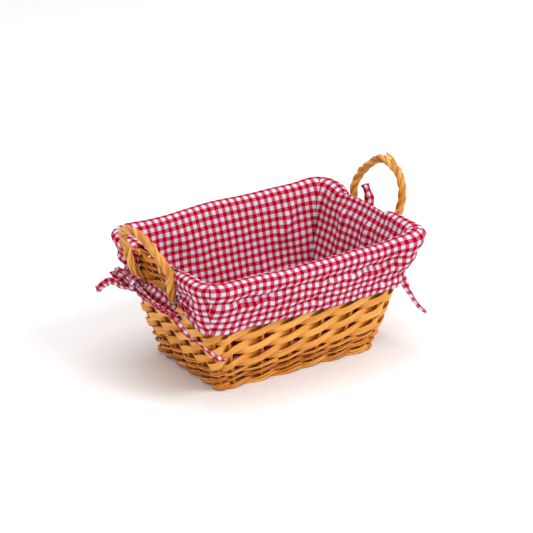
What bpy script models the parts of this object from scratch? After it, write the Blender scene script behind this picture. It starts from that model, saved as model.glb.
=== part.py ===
"""Rectangular willow bread basket with two rope-twisted handles and a gingham liner tied on with bows.

Metres, +Z up. The origin is the centre of the base, on the surface that the basket stands on. X runs along
the length, and the handles stand at the two ends. The wall is 24 stakes with strands twined round them in
pairs: thick rods as a foot, two rows of thin willow, five rows of flat chip, two more rows of thin willow,
and thick rods as the top border. Sizes along a ring follow the surface that runs through the stakes'
centres, which the code calls the stake surface.
"""

import math

import bmesh
import bpy
import numpy as np
from mathutils import Vector

# The stake surface: half its length and width, its corner radius and how far its sides bow out, by height.
HEIGHTS = (0.000, 0.012, 0.040, 0.145)
HALF_LENGTHS = (0.0985, 0.1020, 0.1120, 0.1415)
HALF_WIDTHS = (0.0645, 0.0680, 0.0765, 0.0985)
CORNER_RADII = (0.010, 0.011, 0.013, 0.024)
LONG_BOWS = (0.000, 0.0005, 0.001, 0.005)
SHORT_BOWS = (0.000, 0.0005, 0.001, 0.006)
# The near half's belly below the rim: its reach beyond the half length above, by height.
NEAR_HEIGHTS = (0.000, 0.085, 0.135)
NEAR_EXTRA = (0.0085, 0.0085, 0.000)
BOW_REACH = 0.82

GAP = 0.0003
STAKES_PER_LONG_SIDE = 6
STAKES_PER_SHORT_SIDE = 4
STAKES = 2 * (STAKES_PER_LONG_SIDE + STAKES_PER_SHORT_SIDE) + 4
CORNER_STAKES = (6, 11, 18, 23)
BESIDE_CORNERS = {stake - step for stake in CORNER_STAKES for step in (0, 1)}
STAKE_DIAMETER = 0.0038
STAKE_BOTTOM = 0.0022
STAKE_TOP = 0.1445

THICK_ROD = 0.0042
THIN_ROD = 0.0030
CHIP_WIDTH = 0.0080
CHIP_THICKNESS = 0.0009
CHIP_SLACK = 0.00075
CHIP_RISE = 0.0050
THIN_RISE = 0.0025
THICK_RISE = 0.0033

FOOT_ROW = 0.0050
LOWER_ROWS = (0.0148, 0.0229)
CHIP_ROWS = (0.0362, 0.0545, 0.0728, 0.0911, 0.1094)
UPPER_ROWS = (0.1225, 0.1306)
BORDER_ROW = 0.1401

BASE_STICK_PLACES = (-0.045, -0.015, 0.015, 0.045)
BASE_MIDDLE = -0.0043
BASE_STICK_LENGTH = 0.1885
BASE_HEIGHT = 0.0080
BASE_WEAVER_DIAMETER = 0.0034
BASE_WEAVER_PASSES = 18
BASE_WEAVER_PITCH = 0.0100
BASE_WEAVER_HALF_WIDTH = 0.0535

# Each handle: its end and middle, how far its top sways along Y and leans out, and its centre line's height.
HANDLES = {
    "near": {"end": -1, "middle": 0.0040, "sway": 0.000, "lean": 0.015, "top": 0.1835},
    "far": {"end": 1, "middle": 0.0125, "sway": -0.006, "lean": 0.015, "top": 0.1940},
}
HANDLE_HALF_SPAN = 0.0465
HANDLE_FOOT_HALF_SPAN = 0.037
HANDLE_FOOT_HEIGHT = 0.1165
HANDLE_SHOULDER_HEIGHT = 0.153
HANDLE_STRAND = 0.0050
HANDLE_TWIST = 0.0275
HANDLE_OFFSET = 0.0113
HANDLE_PATH_STEPS = 12
STATIONS_PER_TURN = 7

LINER_THICKNESS = 0.0012
LINER_FLOOR = 0.0152
LINER_CREST = 0.1475
HEM_HEIGHT = 0.084
CUFF_GAP_HALF_WIDTH = 0.052
CUFF_GAP_OFFSET = -0.0040
GAP_CUTTER_DEPTH = 0.06
GAP_CUTTER_HEIGHT = 0.12
CORNER_STEPS = 3
SIDE_STEPS = {"long": 4, "short": 4}

TIE_WIDTH = 0.0080
TIE_THICKNESS = 0.0010

# Each tie's route as (along Y, out from the stake surface, height): strap, knot, loop, knot, tail.
TIE_ROUTES = {
    "near_tie_front": (-1, [
        (-0.0474, 0.0080, 0.100), (-0.015, 0.0088, 0.101), (0.015, 0.0092, 0.102), (0.034, 0.0110, 0.103),
        (0.036, 0.0145, 0.104), (0.020, 0.0170, 0.106), (-0.020, 0.0210, 0.108), (-0.048, 0.0200, 0.109),
        (-0.053, 0.0165, 0.107), (-0.044, 0.0135, 0.103), (-0.010, 0.0130, 0.098), (0.018, 0.0135, 0.095),
        (0.025, 0.0165, 0.093), (0.016, 0.0200, 0.091), (-0.020, 0.0230, 0.093), (-0.046, 0.0240, 0.092),
        (-0.062, 0.0220, 0.080), (-0.074, 0.0150, 0.067), (-0.089, 0.0050, 0.054), (-0.095, -0.0070, 0.044),
    ]),
    "near_tie_back": (-1, [
        (0.0545, 0.0086, 0.101), (0.051, 0.0092, 0.1015), (0.047, 0.0100, 0.102), (0.0415, 0.0120, 0.103),
        (0.042, 0.0155, 0.105), (0.051, 0.0200, 0.112), (0.065, 0.0270, 0.118), (0.075, 0.0300, 0.116),
        (0.076, 0.0270, 0.111), (0.066, 0.0220, 0.107), (0.054, 0.0170, 0.099), (0.048, 0.0160, 0.094),
        (0.051, 0.0200, 0.092), (0.062, 0.0260, 0.095), (0.080, 0.0320, 0.092), (0.096, 0.0360, 0.082),
        (0.108, 0.0380, 0.070),
    ]),
    "far_tie_back": (1, [
        (0.0638, 0.0080, 0.094), (0.048, 0.0086, 0.094), (0.030, 0.0095, 0.096), (0.0215, 0.0105, 0.104),
        (0.018, 0.0120, 0.122), (0.023, 0.0125, 0.140), (0.034, 0.0135, 0.153), (0.041, 0.0160, 0.156),
        (0.041, 0.0190, 0.151), (0.031, 0.0190, 0.136), (0.025, 0.0175, 0.114), (0.027, 0.0165, 0.096),
        (0.034, 0.0180, 0.086), (0.046, 0.0230, 0.076), (0.058, 0.0300, 0.066), (0.066, 0.0380, 0.056),
        (0.071, 0.0460, 0.048),
    ]),
    "far_tie_front": (1, [
        (-0.0387, 0.0080, 0.092), (-0.024, 0.0088, 0.093), (0.000, 0.0092, 0.095), (0.0125, 0.0110, 0.097),
        (0.0135, 0.0145, 0.098), (0.004, 0.0175, 0.100), (-0.020, 0.0215, 0.103), (-0.034, 0.0210, 0.102),
        (-0.038, 0.0175, 0.100), (-0.030, 0.0145, 0.097), (-0.012, 0.0135, 0.091), (0.004, 0.0140, 0.087),
        (0.009, 0.0170, 0.085), (0.000, 0.0205, 0.083), (-0.026, 0.0230, 0.086), (-0.048, 0.0220, 0.086),
        (-0.063, 0.0220, 0.079), (-0.076, 0.0260, 0.067), (-0.091, 0.0310, 0.057), (-0.105, 0.0360, 0.048),
    ]),
}

COLOURS = {
    "willow": (0.62, 0.27, 0.05),
    "chip": (0.78, 0.42, 0.13),
    "handle": (0.82, 0.50, 0.17),
    "gingham": (0.70, 0.12, 0.16),
}


def stake_surface(height):
    """Half length, half width, corner radius and the two bows of the stake surface at one height."""
    return tuple(
        float(np.interp(height, HEIGHTS, values))
        for values in (HALF_LENGTHS, HALF_WIDTHS, CORNER_RADII, LONG_BOWS, SHORT_BOWS)
    )


def settled(point):
    """The near half bellies out below the rim, so its points move towards -X, most at the end."""
    extra = float(np.interp(point.z, NEAR_HEIGHTS, NEAR_EXTRA))
    point.x -= extra * (max(0.0, -point.x) / stake_surface(point.z)[0]) ** 2
    return point


def side_point(side, along, height, offset):
    """A point on one straight side. Sides 0 to 3 run anticlockwise from the front, and along is -1 to 1."""
    half_length, half_width, _, long_bow, short_bow = stake_surface(height)
    if side % 2 == 0:
        half, far, bow = half_length, half_width, long_bow
    else:
        half, far, bow = half_width, half_length, short_bow
    out = far + bow * max(0.0, 1 - (along / BOW_REACH) ** 2) + offset
    point = Vector((along * half, -out, height)) if side % 2 == 0 else Vector((out, along * half, height))
    if side >= 2:
        point.x, point.y = -point.x, -point.y
    return point


def end_x(end, along, height, offset):
    """X on the wall of one end, -1 near or 1 far, at along metres from its middle."""
    wall = side_point(1, along / stake_surface(height)[1], height, offset)
    wall.x *= end
    return settled(wall).x


def corner_point(corner, turn, height, offset):
    """A point on the arc after the side of this number. turn is 0 where the side ends, 1 at the next."""
    half_length, half_width, radius, _, _ = stake_surface(height)
    signs = ((1, -1), (1, 1), (-1, 1), (-1, -1))[corner]
    angle = math.radians(90 * (corner - 1 + turn))
    reach = max(radius + offset, 0.002)
    inset = radius + offset - reach
    return Vector((
        signs[0] * (half_length - radius + inset) + reach * math.cos(angle),
        signs[1] * (half_width - radius + inset) + reach * math.sin(angle),
        height,
    ))


def side_spots(side):
    """Where the stakes of one side stand, from -1 to 1 along it."""
    if side % 2 == 0:
        count, spaces = STAKES_PER_LONG_SIDE, STAKES_PER_LONG_SIDE
    else:
        count, spaces = STAKES_PER_SHORT_SIDE, STAKES_PER_SHORT_SIDE + 1
    return [(2 * index - count + 1) / spaces for index in range(count)]


def to_corner(side, share, height, offset):
    """A point between a side's last stake and the corner stake after it, which share goes to at 1."""
    half_length, half_width, radius, _, _ = stake_surface(height)
    half = half_length if side % 2 == 0 else half_width
    last = side_spots(side)[-1]
    run = max(0.0, (1 - last) * half - radius)
    arc = radius * math.pi / 4
    gone = share * (run + arc)
    if gone < run:
        return side_point(side, last + gone / half, height, offset)
    return corner_point(side, (gone - run) / arc / 2, height, offset)


def ring_point(spot, height, offset):
    """A point on the ring of stakes. Whole spots are stakes, anticlockwise from the front's first one."""
    spot %= STAKES
    for side in range(4):
        spots = side_spots(side)
        if spot <= len(spots) - 1:
            along = float(np.interp(spot, range(len(spots)), spots))
            return settled(side_point(side, along, height, offset))
        if spot <= len(spots):
            return settled(to_corner(side, spot - len(spots) + 1, height, offset))
        if spot < len(spots) + 1:
            return settled(from_corner((side + 1) % 4, len(spots) + 1 - spot, height, offset))
        spot -= len(spots) + 1
    return None


def from_corner(side, share, height, offset):
    """A point between a side's first stake and the corner stake before it: to_corner's mirror image."""
    point = to_corner(side, share, height, offset)
    if side % 2 == 0:
        return Vector((-point.x, point.y, height))
    return Vector((point.x, -point.y, height))


def wall_slant(height):
    """How much longer a level step is than a step square to the slanting wall."""
    step = 0.001
    slope = (stake_surface(height + step)[0] - stake_surface(height - step)[0]) / (2 * step)
    return math.hypot(1.0, slope)


def twined_points(row, reach, rise, starts_outside, lift=0.0):
    """One strand round all the stakes: outside one, inside the next, high where it dives in, low where it
    comes out. lift moves the line up or down the wall, for a flat strand's two edges."""
    points = []
    for stake in range(STAKES):
        side = 1 if (stake % 2 == 0) == starts_outside else -1
        shares = (0.0, 0.25, 0.5, 0.75) if stake in BESIDE_CORNERS else (0.0, 0.5)
        for share in shares:
            height = row + lift + side * rise * math.sin(math.pi * share)
            out = side * reach * wall_slant(row) * math.cos(math.pi * share)
            points.append(ring_point(stake + share, height, out))
    return points


def collection(name):
    made = bpy.data.collections.new(name)
    bpy.context.scene.collection.children.link(made)
    return made


def material(name, roughness):
    made = bpy.data.materials.new(name)
    made.use_nodes = True
    shader = made.node_tree.nodes["Principled BSDF"]
    shader.inputs["Base Color"].default_value = (*COLOURS[name], 1.0)
    shader.inputs["Roughness"].default_value = roughness
    shader.inputs["Metallic"].default_value = 0.0
    return made


def add_object(name, data, finish):
    made = bpy.data.objects.new(name, data)
    data.materials.append(finish)
    PARTS.objects.link(made)
    return made


def rod(name, points, diameter, finish, closed=False, resolution=1):
    """A round rod along the points, as a curve with a bevel."""
    curve = bpy.data.curves.new(name, "CURVE")
    curve.dimensions = "3D"
    curve.twist_mode = "MINIMUM"
    curve.bevel_depth = diameter / 2
    curve.bevel_resolution = resolution
    curve.use_fill_caps = not closed
    spline = curve.splines.new("POLY")
    spline.points.add(len(points) - 1)
    for spot, point in zip(spline.points, points):
        spot.co = (*point, 1.0)
    spline.use_cyclic_u = closed
    return add_object(name, curve, finish)


def strip(name, lower, upper, thickness, finish, closed):
    """A flat strip between two lines of points, as an open surface with Solidify."""
    mesh = bpy.data.meshes.new(name)
    shape = bmesh.new()
    low = [shape.verts.new(point) for point in lower]
    high = [shape.verts.new(point) for point in upper]
    count = len(low)
    for index in range(count if closed else count - 1):
        following = (index + 1) % count
        shape.faces.new((low[index], low[following], high[following], high[index]))
    shape.to_mesh(mesh)
    shape.free()
    made = add_object(name, mesh, finish)
    shell = made.modifiers.new("Thickness", "SOLIDIFY")
    shell.thickness = thickness
    shell.offset = 0.0
    return made


def smooth_path(points, steps):
    """Points along the Catmull-Rom curve through the given ones."""
    found = []
    padded = [points[0] * 2 - points[1], *points, points[-1] * 2 - points[-2]]
    for a, b, c, d in zip(padded, padded[1:], padded[2:], padded[3:]):
        for step in range(steps):
            t = step / steps
            found.append((b * 2 + (c - a) * t + (a * 2 - b * 5 + c * 4 - d) * t**2
                          + (b * 3 - a - c * 3 + d) * t**3) / 2)
    return [*found, points[-1]]


def as_mesh(made):
    """The same object as a mesh with its curve's caps welded, for a Boolean."""
    graph = bpy.context.evaluated_depsgraph_get()
    mesh = bpy.data.meshes.new_from_object(made.evaluated_get(graph))
    shape = bmesh.new()
    shape.from_mesh(mesh)
    bmesh.ops.remove_doubles(shape, verts=shape.verts, dist=0.00001)
    shape.to_mesh(mesh)
    shape.free()
    name = made.name
    bpy.data.objects.remove(made)
    made = bpy.data.objects.new(name, mesh)
    PARTS.objects.link(made)
    return made


def cutter(name, size, centre):
    bpy.ops.mesh.primitive_cube_add(size=1.0, location=centre)
    made = bpy.context.active_object
    made.name = name
    made.scale = size
    made.hide_render = True
    made.display_type = "WIRE"
    for group in list(made.users_collection):
        group.objects.unlink(made)
    CUTTERS.objects.link(made)
    return made


def cut(made, tool):
    modifier = made.modifiers.new("Cut", "BOOLEAN")
    modifier.operation = "DIFFERENCE"
    modifier.solver = "EXACT"
    modifier.object = tool


def make_stakes():
    bends = [STAKE_BOTTOM, HEIGHTS[1], HEIGHTS[2], NEAR_HEIGHTS[1], NEAR_HEIGHTS[2], STAKE_TOP]
    for stake in range(STAKES):
        points = [ring_point(stake, height, 0.0) for height in bends]
        rod(f"stake_{stake + 1:02d}", points, STAKE_DIAMETER, WILLOW, resolution=0)


def make_rod_rows():
    thin_reach = (STAKE_DIAMETER + THIN_ROD) / 2 + GAP
    rows = {"lower_wale": LOWER_ROWS, "upper_wale": UPPER_ROWS}
    for name, heights in rows.items():
        for number, row in enumerate(heights, 1):
            for letter, outside in (("a", True), ("b", False)):
                points = twined_points(row, thin_reach, THIN_RISE, outside)
                rod(f"{name}_{number}{letter}", points, THIN_ROD, WILLOW, closed=True, resolution=0)


def make_thick_rows():
    reach = (STAKE_DIAMETER + THICK_ROD) / 2 + GAP
    floor = cutter("floor_cutter", (0.4, 0.4, 0.02), (0.0, 0.0, -0.01))
    for letter, outside in (("a", True), ("b", False)):
        border = twined_points(BORDER_ROW, reach, THICK_RISE, outside)
        rod(f"border_rod_{letter}", border, THICK_ROD, WILLOW, closed=True)
        foot = twined_points(FOOT_ROW, reach, THICK_RISE, outside)
        cut(as_mesh(rod(f"foot_rod_{letter}", foot, THICK_ROD, WILLOW, closed=True)), floor)


def make_chips():
    reach = (STAKE_DIAMETER + CHIP_THICKNESS) / 2 + CHIP_SLACK
    for number, row in enumerate(CHIP_ROWS, 1):
        for letter, outside in (("a", True), ("b", False)):
            lower = twined_points(row, reach, CHIP_RISE, outside, -CHIP_WIDTH / 2)
            upper = twined_points(row, reach, CHIP_RISE, outside, CHIP_WIDTH / 2)
            strip(f"chip_{number}{letter}", lower, upper, CHIP_THICKNESS, CHIP, closed=True)


def make_base():
    for number, place in enumerate(BASE_STICK_PLACES, 1):
        ends = [Vector((BASE_MIDDLE + side * BASE_STICK_LENGTH / 2, place, BASE_HEIGHT)) for side in (-1, 1)]
        rod(f"base_stick_{number}", ends, STAKE_DIAMETER, WILLOW)
    rise = (STAKE_DIAMETER + BASE_WEAVER_DIAMETER) / 2 + GAP
    points = []
    for turn in range(BASE_WEAVER_PASSES):
        x = BASE_MIDDLE + (turn - (BASE_WEAVER_PASSES - 1) / 2) * BASE_WEAVER_PITCH
        forward = 1 if turn % 2 == 0 else -1
        crossings = [(forward * place, rise if (index + turn) % 2 else -rise)
                     for index, place in enumerate(BASE_STICK_PLACES)]
        ends = [(-forward * BASE_WEAVER_HALF_WIDTH, 0.0), (forward * BASE_WEAVER_HALF_WIDTH, 0.0)]
        for y, lift in [ends[0], *crossings, ends[1]]:
            points.append(Vector((x, y, BASE_HEIGHT + lift)))
    rod("base_weaver", points, BASE_WEAVER_DIAMETER, WILLOW, resolution=0)


def handle_centre_line(end, middle, sway, lean, top):
    """The line that a handle's two strands twist round, from its front foot over the top to its back foot."""
    def place(along, height):
        drift = max(0.0, height - LINER_CREST) / (top - LINER_CREST)
        rest = end_x(end, 0.0, min(height, LINER_CREST), HANDLE_OFFSET)
        return Vector((rest + end * lean * drift, middle + sway * drift + along, height))

    rise = top - HANDLE_SHOULDER_HEIGHT
    arch = [(HANDLE_HALF_SPAN * math.cos(angle), HANDLE_SHOULDER_HEIGHT + rise * math.sin(angle))
            for angle in np.linspace(0, math.pi, 9)]
    leg = [(HANDLE_FOOT_HALF_SPAN, HANDLE_FOOT_HEIGHT), (HANDLE_FOOT_HALF_SPAN + 0.005, 0.130),
           (HANDLE_HALF_SPAN - 0.001, 0.146)]
    outline = [*leg, *arch, *[(-along, height) for along, height in reversed(leg)]]
    return [place(-along, height) for along, height in outline]


def make_handle(name, end, middle, sway, lean, top):
    path = smooth_path(handle_centre_line(end, middle, sway, lean, top), HANDLE_PATH_STEPS)
    lengths = np.cumsum([0.0] + [(b - a).length for a, b in zip(path, path[1:])])
    turns = round(2 * lengths[-1] / HANDLE_TWIST) / 2
    count = int(turns * STATIONS_PER_TURN) + 1
    centres = [Vector([np.interp(at, lengths, [point[axis] for point in path]) for axis in range(3)])
               for at in np.linspace(0, lengths[-1], count)]
    twist_radius = HANDLE_STRAND / 2 + GAP
    for letter, start in (("a", 0.0), ("b", math.pi)):
        points = []
        for index, centre in enumerate(centres):
            before, after = centres[max(index - 1, 0)], centres[min(index + 1, count - 1)]
            tangent = (after - before).normalized()
            outward = Vector((end, 0.0, 0.0))
            outward = (outward - tangent * outward.dot(tangent)).normalized()
            across = tangent.cross(outward)
            angle = start + 2 * math.pi * turns * index / (count - 1)
            points.append(centre + (outward * math.cos(angle) + across * math.sin(angle)) * twist_radius)
        rod(f"{name}_handle_{letter}", points, HANDLE_STRAND, HANDLE, resolution=0)


def ring(height, offset):
    """Points round the whole wall at one height and one distance from the stake surface."""
    points = []
    for side in range(4):
        half_length, half_width, radius, _, _ = stake_surface(height)
        half = half_length if side % 2 == 0 else half_width
        steps = SIDE_STEPS["long" if side % 2 == 0 else "short"]
        reach = 1 - radius / half
        for index in range(1, steps):
            along = reach * (2 * index / steps - 1)
            points.append(settled(side_point(side, along, height, offset)))
        for turn in range(CORNER_STEPS + 1):
            points.append(settled(corner_point(side, turn / CORNER_STEPS, height, offset)))
    return points


def make_liner():
    """The bag inside the wicker, folded over the border as a cuff and cut away round each handle."""
    middle = LINER_THICKNESS / 2
    sections = [
        (LINER_FLOOR - middle, -0.0120), (0.040, -0.0098), (0.085, -0.0097), (0.136, -0.0096),
        (0.1440, -0.0086), (LINER_CREST, -0.0040), (LINER_CREST, 0.0032), (0.1450, 0.0078),
        (0.137, 0.0092), (0.112, 0.0088), (HEM_HEIGHT, 0.0082),
    ]
    mesh = bpy.data.meshes.new("liner")
    shape = bmesh.new()
    rings = [[shape.verts.new(point) for point in ring(height, offset)] for height, offset in sections]
    count = len(rings[0])
    shape.faces.new(reversed(rings[0]))
    for low, high in zip(rings, rings[1:]):
        for index in range(count):
            following = (index + 1) % count
            shape.faces.new((low[index], low[following], high[following], high[index]))
    shape.to_mesh(mesh)
    shape.free()
    liner = add_object("liner", mesh, GINGHAM)
    shell = liner.modifiers.new("Thickness", "SOLIDIFY")
    shell.thickness = LINER_THICKNESS
    shell.offset = 0.0
    size = (GAP_CUTTER_DEPTH, 2 * CUFF_GAP_HALF_WIDTH, GAP_CUTTER_HEIGHT)
    for name, handle in HANDLES.items():
        end = handle["end"]
        low, high = (end_x(end, 0.0, height, CUFF_GAP_OFFSET) for height in (HEM_HEIGHT, HEIGHTS[-1]))
        slope = math.atan2(end * (high - low), HEIGHTS[-1] - HEM_HEIGHT)
        centre = ((low + high) / 2 + end * GAP_CUTTER_DEPTH / 2 * math.cos(slope), handle["middle"],
                  (HEM_HEIGHT + HEIGHTS[-1]) / 2 - GAP_CUTTER_DEPTH / 2 * math.sin(slope))
        tool = cutter(f"{name}_gap_cutter", size, centre)
        tool.rotation_euler.y = end * slope
        cut(liner, tool)


def make_tie(name, end, route):
    spots = []
    for along, out, height in route:
        spots.append(Vector((end_x(end, along, height, out), along, height)))
    path = smooth_path(spots, 2)
    tangents = [(path[min(index + 1, len(path) - 1)] - path[max(index - 1, 0)]).normalized()
                for index in range(len(path))]
    across = Vector((0.0, 0.0, 1.0))
    lower, upper = [], []
    for point, tangent in zip(path, tangents):
        across = (across - tangent * across.dot(tangent)).normalized()
        lower.append(point - across * TIE_WIDTH / 2)
        upper.append(point + across * TIE_WIDTH / 2)
    strip(name, lower, upper, TIE_THICKNESS, GINGHAM, closed=False)


for old in list(bpy.data.objects):
    bpy.data.objects.remove(old)

PARTS = collection("bread_basket")
CUTTERS = collection("cutters")
WILLOW = material("willow", 0.45)
CHIP = material("chip", 0.50)
HANDLE = material("handle", 0.35)
GINGHAM = material("gingham", 0.90)

make_stakes()
make_thick_rows()
make_rod_rows()
make_chips()
make_base()
for handle_name, handle_sizes in HANDLES.items():
    make_handle(handle_name, **handle_sizes)
make_liner()
for tie_name, (tie_end, tie_route) in TIE_ROUTES.items():
    make_tie(tie_name, tie_end, tie_route)
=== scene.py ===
"""The looks of the willow bread basket: its weave, twisted handles, gingham liner and bows.

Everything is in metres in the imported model's frame: X along the basket, -Y the front, +Z up.
"""

import math

import bmesh
import bpy
import numpy as np
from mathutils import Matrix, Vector, noise


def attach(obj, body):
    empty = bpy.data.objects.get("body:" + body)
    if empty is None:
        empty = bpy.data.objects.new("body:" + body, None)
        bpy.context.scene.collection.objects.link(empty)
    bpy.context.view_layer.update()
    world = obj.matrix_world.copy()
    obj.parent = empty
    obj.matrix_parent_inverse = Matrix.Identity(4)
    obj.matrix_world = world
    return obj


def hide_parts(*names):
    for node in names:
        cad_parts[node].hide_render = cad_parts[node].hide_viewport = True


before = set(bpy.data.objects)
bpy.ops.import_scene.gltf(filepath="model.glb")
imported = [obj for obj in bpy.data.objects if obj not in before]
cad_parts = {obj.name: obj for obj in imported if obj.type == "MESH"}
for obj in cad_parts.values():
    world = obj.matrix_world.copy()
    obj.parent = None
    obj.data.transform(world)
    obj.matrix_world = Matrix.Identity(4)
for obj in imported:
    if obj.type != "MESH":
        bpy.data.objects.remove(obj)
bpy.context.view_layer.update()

RANDOM = np.random.default_rng(7)

# The surface through the stakes' centres, by height: its half sizes, corner radius and its sides' bows.
HEIGHTS = (0.000, 0.012, 0.040, 0.145)
HALF_LENGTHS = (0.0985, 0.1020, 0.1120, 0.1415)
HALF_WIDTHS = (0.0645, 0.0680, 0.0765, 0.0985)
CORNER_RADII = (0.010, 0.011, 0.013, 0.024)
LONG_BOWS = (0.000, 0.0005, 0.001, 0.005)
SHORT_BOWS = (0.000, 0.0005, 0.001, 0.006)
BOW_REACH = 0.82
# The near half's belly below the rim: its reach beyond the half length above, by height.
NEAR_HEIGHTS = (0.000, 0.085, 0.135)
NEAR_EXTRA = (0.0085, 0.0085, 0.000)
LONG_SPOTS = [step / 6 for step in (-5, -3, -1, 1, 3, 5)]
SHORT_SPOTS = [step / 5 for step in (-3, -1, 1, 3)]
STAKES = 24

STAKE_RADIUS = 0.0019
THICK_RADIUS = 0.0023
THIN_RADIUS = 0.0016
STAKE_FOOT, STAKE_TOP = 0.0024, 0.1440
THIN_RISE, FOOT_RISE, BORDER_RISE = 0.0022, 0.0027, 0.0030
# A strand is a chain of rod pairs: their spread as a share of its radius, and their overlap in stakes.
PAIR_SPREAD = 0.58
ROD_OVERLAP = 0.55
CHIP_WIDTH = 0.0098
CHIP_THICKNESS = 0.0010
CHIP_RISE = 0.0048
CHIP_SLACK = 0.0007
FOOT_ROW = 0.0050
LOWER_ROWS = (0.0148, 0.0229)
CHIP_ROWS = (0.0362, 0.0545, 0.0728, 0.0911, 0.1094)
UPPER_ROWS = (0.1225, 0.1306)
BORDER_ROW = 0.1401

HANDLES = {
    "near": {"end": -1, "middle": 0.0040, "sway": 0.000, "lean": 0.015, "top": 0.1835},
    "far": {"end": 1, "middle": 0.0125, "sway": -0.006, "lean": 0.015, "top": 0.1940},
}
HANDLE_HALF_SPAN = 0.0465
HANDLE_SHOULDER = 0.153
HANDLE_REST = 0.145
HANDLE_OFFSET = 0.0113
# A leg from its foot in the weave to the border: along the handle, height, and out from its plane.
HANDLE_LEG = [
    (0.0335, 0.1060, -0.0045), (0.0375, 0.1180, -0.0025), (0.0420, 0.1320, 0.0), (0.0455, 0.1460, 0.0),
]
HANDLE_PITCH = 0.041
HANDLE_BUNDLE_REACH = 0.0027
HANDLE_ROD_REACH = 0.0014
HANDLE_ROD_RADIUS = 0.00165
# Split rods that have worked loose from each handle: along the handle, height, and out from its plane.
LOOSE_RODS = {
    "near": [
        [(0.0460, 0.1650, 0.0000), (0.0310, 0.1625, 0.0045), (0.0130, 0.1595, 0.0050)],
        [(-0.0400, 0.1690, 0.0035), (-0.0405, 0.1580, 0.0050), (-0.0370, 0.1475, 0.0055)],
    ],
    "far": [
        [(-0.0150, 0.1905, 0.0030), (-0.0010, 0.1975, 0.0030), (0.0110, 0.2005, 0.0010)],
        [(0.0440, 0.1640, 0.0040), (0.0465, 0.1540, 0.0045), (0.0475, 0.1460, 0.0040)],
    ],
}

BASE_STICKS = (-0.045, -0.015, 0.015, 0.045)
BASE_MIDDLE = -0.0043
BASE_HALF_LENGTH, BASE_HALF_WIDTH = 0.0960, 0.0560
BASE_HEIGHT = 0.0080
BASE_WEAVE_REACH, BASE_PITCH = 0.0880, 0.0046
BASE_STICK_RADIUS, BASE_WEAVER_RADIUS, BASE_RISE = 0.0021, 0.0019, 0.0026

# The liner's cloth: a roll over the border, a crease in the cuff under it, and gaps at the handles.
ROLL_OFFSET, ROLL_HEIGHT, ROLL_RADIUS = 0.0020, 0.1390, 0.0098
CLOTH_THICKNESS = 0.0006
FLOOR_HEIGHT = 0.0152
COLUMN_STEP = 0.0023
# Offsets that keep the cloth clear of the wicker: outside the wall, outside the border, and inside.
OUTER_LEAST, BORDER_LEAST, INNER_MOST = 0.0064, 0.0080, -0.0078
FAR_SIDE_LIFT = 0.0035
CORNER_BULGES = (0.0070, 0.0045, 0.0062, 0.0035)
GAP_HALF_WIDTH = 0.052
GAP_EDGES = {1: 0.0075, 3: -0.0030}
# Creases across the cuff: how far down from the crest, how deep and how wide.
CREASE_DOWN, CREASE_DEPTH, CREASE_WIDTH = 0.0275, 0.0040, 0.0046
LOW_CREASE_DOWN, LOW_CREASE_DEPTH, LOW_CREASE_WIDTH = 0.050, 0.0026, 0.0034
HEM_TURN, HEM_THICKENING = 0.0052, 0.0004
OUTER_SEAM, INNER_SEAM = 0.0011, 0.0014
# Where a tie gathers the cuff, down from the crest, and how far it draws it up and along.
GATHER_DOWN, GATHER_LIFT, GATHER_FOLDS = 0.052, 0.019, 0.0032
CUFF_PULL, ROLL_PULL = 0.013, 0.012
GINGHAM_PERIODS = (0.0096, 0.0090)
THREAD_PITCH = 0.00059

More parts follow.
